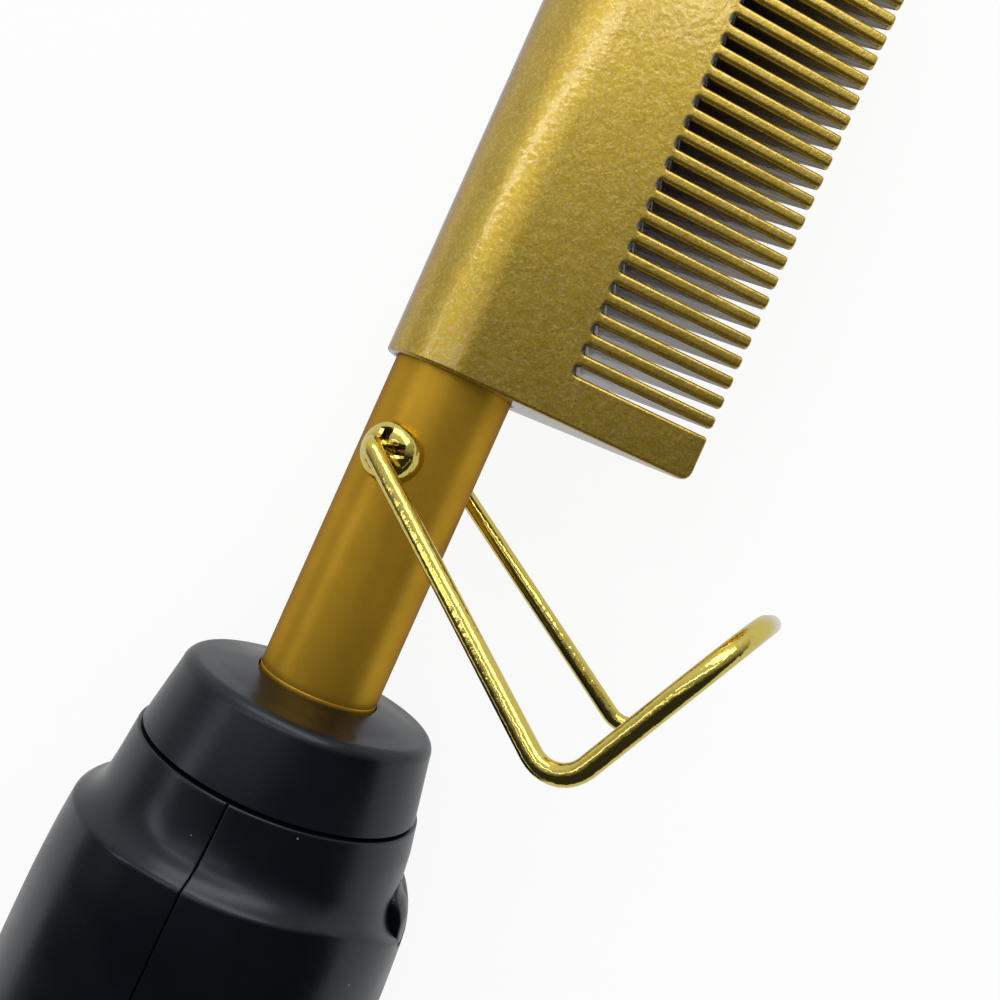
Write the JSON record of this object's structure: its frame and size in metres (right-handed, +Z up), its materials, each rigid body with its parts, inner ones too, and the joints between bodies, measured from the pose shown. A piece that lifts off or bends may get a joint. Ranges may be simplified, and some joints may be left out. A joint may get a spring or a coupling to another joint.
{
  "type": "electric hot comb",
  "caption": "Heated comb on a metal barrel with a swinging wire stand, a dark moulded handle with an oval push button, and a swivelling cord outlet.",
  "frame": {"origin": "centre of the cord outlet's mouth, on the tool's axis", "axes": "+X along the tool from the cord outlet to the comb's tip, -Y the way the teeth point, +Z up through the comb's thickness as the tool lies on its side"},
  "size_m": [0.2699, 0.0697, 0.0524],
  "materials": {
    "gold_paint": "metallic gold paint with a fine orange peel",
    "bronze_paint": "satin gold lacquer",
    "polished_brass": "polished",
    "bare_aluminium": "extruded",
    "zinc_steel": "zinc plated",
    "black_steel": "black oxide",
    "alumina": "sintered, matte",
    "phenolic": "pressed phenolic",
    "grey_moulding": "semi-gloss moulding",
    "black_moulding": "semi-gloss moulding",
    "board_laminate": "solder mask",
    "component_plastic": "moulded epoxy",
    "amber_resin": "dipped resin",
    "capacitor_sleeve": "shrink sleeve",
    "light_plastic": "moulded",
    "button_plastic": "gloss moulding",
    "lens_plastic": "clear red moulding",
    "sensor_enamel": "glass bead",
    "silicone_leads": "silicone sleeve",
    "carbon": "pressed carbon",
    "ring_brass": "turned",
    "outlet_rubber": "soft PVC"
  },
  "bodies": {
    "tool": {"comb_head": "gold_paint", "head_set_screw": "black_steel", "heater_bar": "alumina", "spreader_upper": "bare_aluminium", "spreader_lower": "bare_aluminium", "temperature_sensor": "sensor_enamel", "ceramic_bush": "alumina", "thermal_fuse": "zinc_steel", "heater_leads": "silicone_leads", "sensor_leads": "silicone_leads", "barrel": "bronze_paint", "barrel_flange": "zinc_steel", "insulating_disc": "phenolic", "flange_screws": "zinc_steel", "pivot_screws": "polished_brass", "pivot_nuts": "zinc_steel", "collar": "grey_moulding", "handle_front": "black_moulding", "handle_back": "black_moulding", "handle_screws": "black_steel", "circuit_board": "board_laminate", "board_screws": "zinc_steel", "triac": "component_plastic", "film_capacitor": "amber_resin", "smoothing_capacitor": "capacitor_sleeve", "control_chip": "component_plastic", "tact_switch": "component_plastic", "indicator_led": "light_plastic", "indicator_lens": "lens_plastic", "brush_holder": "phenolic", "contact_brushes": "carbon", "supply_leads": "silicone_leads"},
    "stand": {"wire_stand": "polished_brass"},
    "button": {"power_button": "button_plastic", "switch_plunger": "light_plastic"},
    "outlet": {"cord_outlet": "outlet_rubber", "contact_rings": "ring_brass"}
  },
  "joints": [
    {"name": "stand_swing", "type": "hinge", "parent": "tool", "child": "stand", "pos_m": [0.1613, 0, 0], "axis": [0, 0.225, 0.9744], "range_deg": [-63, 45]},
    {"name": "button_press", "type": "slide", "parent": "tool", "child": "button", "axis": [0, 1, 0], "range_m": [0, 0.0007], "stiffness_N_per_m": 1500},
    {"name": "outlet_swivel", "type": "hinge", "parent": "tool", "child": "outlet", "pos_m": [0, 0, 0], "axis": [1, 0, 0], "continuous": true}
  ]
}
